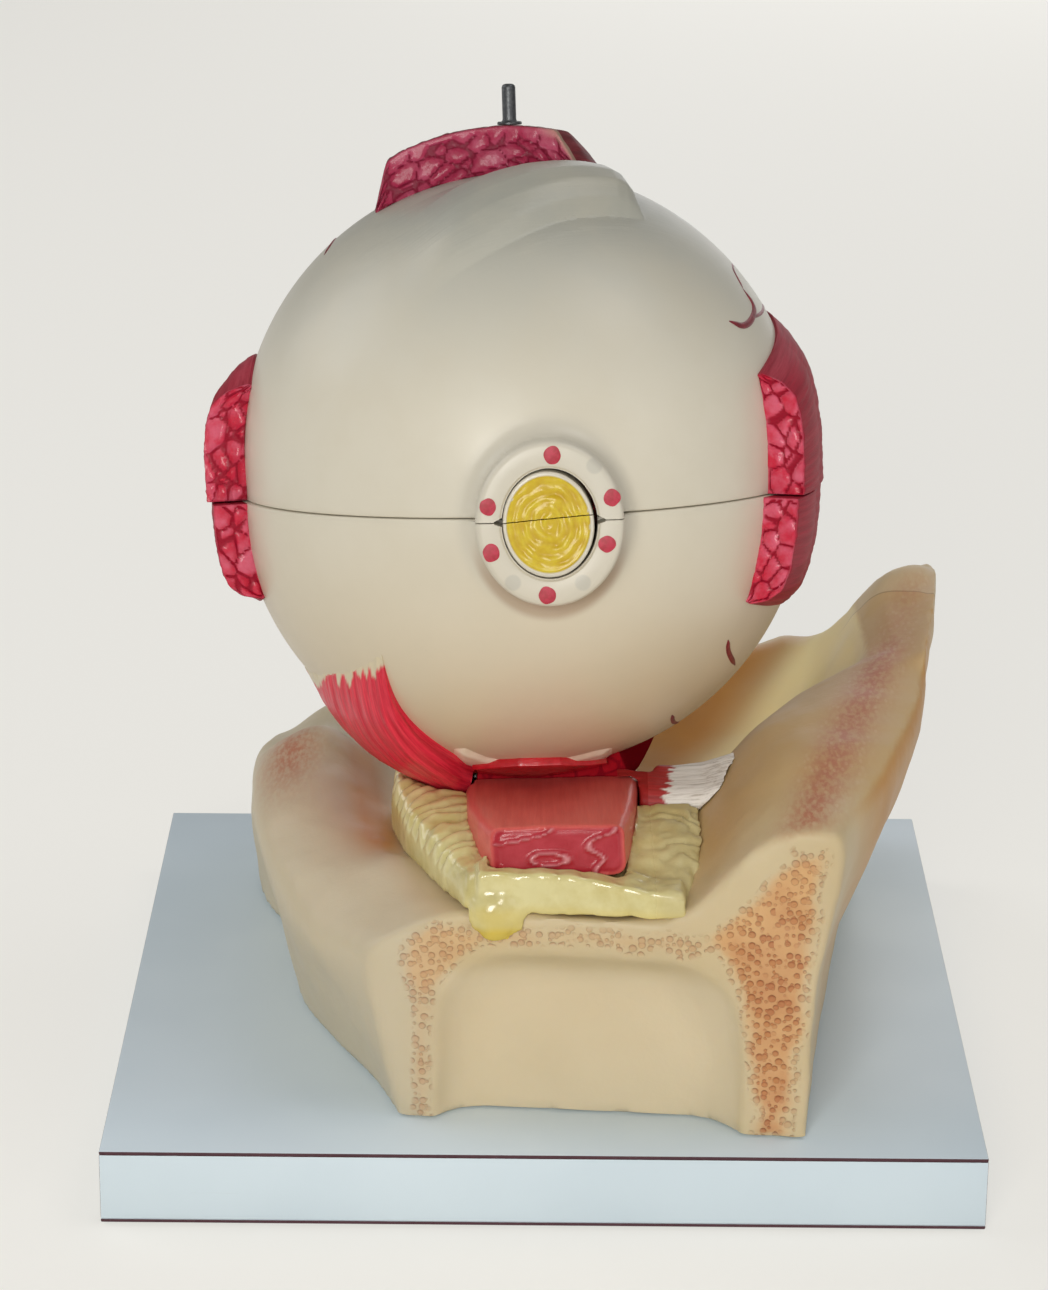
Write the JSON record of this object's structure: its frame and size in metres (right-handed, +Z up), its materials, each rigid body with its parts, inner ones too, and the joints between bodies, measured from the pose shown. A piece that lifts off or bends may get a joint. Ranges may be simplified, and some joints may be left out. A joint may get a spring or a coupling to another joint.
{
  "type": "eye anatomy model",
  "caption": "Enlarged left eye in a bony orbit on a square board. It lifts apart into outer coats, inner coats, vitreous body with lens, and cornea.",
  "frame": {"origin": "centre of the board's underside", "axes": "+Z up. -Y is the rear of the eye with the optic nerve and the cut face of the orbit, +Y the cornea side. +X is the nose side of this left eye, with the tall cut wall."},
  "size_m": [0.18, 0.18, 0.2127],
  "materials": {
    "white_laminate": "white laminate, slightly blue, satin gloss",
    "chipboard": "pressed chips, bare",
    "steel": "plain grey, dull polish",
    "bone": "cream cast, hand painted, with orange brown spongy bone on the cut faces",
    "fat": "pale yellow, glossy, wrinkled",
    "muscle": "red, glossy, striped along the fibres and cobbled on the cut ends",
    "pale_muscle": "darker muted red, glossy",
    "tendon": "white, brushed",
    "sclera": "warm off-white, satin, with painted dark red veins",
    "choroid": "dark red brown outside, orange red inside with painted vessels",
    "iris": "painted blue grey, rayed",
    "nerve": "yellow with ridged rings and a white rim",
    "clear_plastic": "clear, polished"
  },
  "bodies": {
    "base": {"board_core": "chipboard", "top_laminate": "white_laminate", "bottom_laminate": "white_laminate", "rear_edge_strip": "white_laminate", "front_edge_strip": "white_laminate", "left_edge_strip": "white_laminate", "right_edge_strip": "white_laminate", "orbit_screw_1": "steel", "orbit_screw_2": "steel", "orbit_screw_3": "steel", "orbit_bone": "bone", "orbital_fat": "fat", "inferior_rectus_stub": "pale_muscle", "inferior_oblique_stub": "pale_muscle", "inferior_oblique_tendon": "tendon", "support_pin": "steel"},
    "lower_eye": {"sclera_lower": "sclera", "seam_dowel_lateral": "steel", "seam_dowel_medial": "steel", "inferior_rectus": "muscle", "inferior_oblique": "muscle", "lateral_rectus_lower": "muscle", "medial_rectus_lower": "muscle"},
    "cornea": {"cornea": "clear_plastic"},
    "lower_coats": {"choroid_lower": "choroid", "iris_lower": "iris", "nerve_core_lower": "nerve"},
    "vitreous": {"vitreous_shell": "clear_plastic", "vitreous_dish": "clear_plastic", "lens": "clear_plastic"},
    "upper_coats": {"choroid_upper": "choroid", "iris_upper": "iris", "nerve_core_upper": "nerve"},
    "upper_eye": {"sclera_upper": "sclera", "superior_rectus": "muscle", "crown_pin": "steel", "lateral_rectus_upper": "muscle", "medial_rectus_upper": "muscle"}
  },
  "joints": [
    {"name": "eyeball_lift", "type": "slide", "parent": "base", "child": "lower_eye", "axis": [-0.0384, 0.1992, 0.9792], "range_m": [0, 0.06]},
    {"name": "cornea_pull", "type": "slide", "parent": "lower_eye", "child": "cornea", "axis": [0, 0.9799, -0.1994], "range_m": [0, 0.06]},
    {"name": "lower_coats_lift", "type": "slide", "parent": "lower_eye", "child": "lower_coats", "axis": [-0.0384, 0.1992, 0.9792], "range_m": [0, 0.075]},
    {"name": "vitreous_lift", "type": "slide", "parent": "lower_coats", "child": "vitreous", "axis": [-0.0384, 0.1992, 0.9792], "range_m": [0, 0.075]},
    {"name": "upper_coats_lift", "type": "slide", "parent": "vitreous", "child": "upper_coats", "axis": [-0.0384, 0.1992, 0.9792], "range_m": [0, 0.075]},
    {"name": "upper_eye_lift", "type": "slide", "parent": "upper_coats", "child": "upper_eye", "axis": [-0.0384, 0.1992, 0.9792], "range_m": [0, 0.08]}
  ]
}
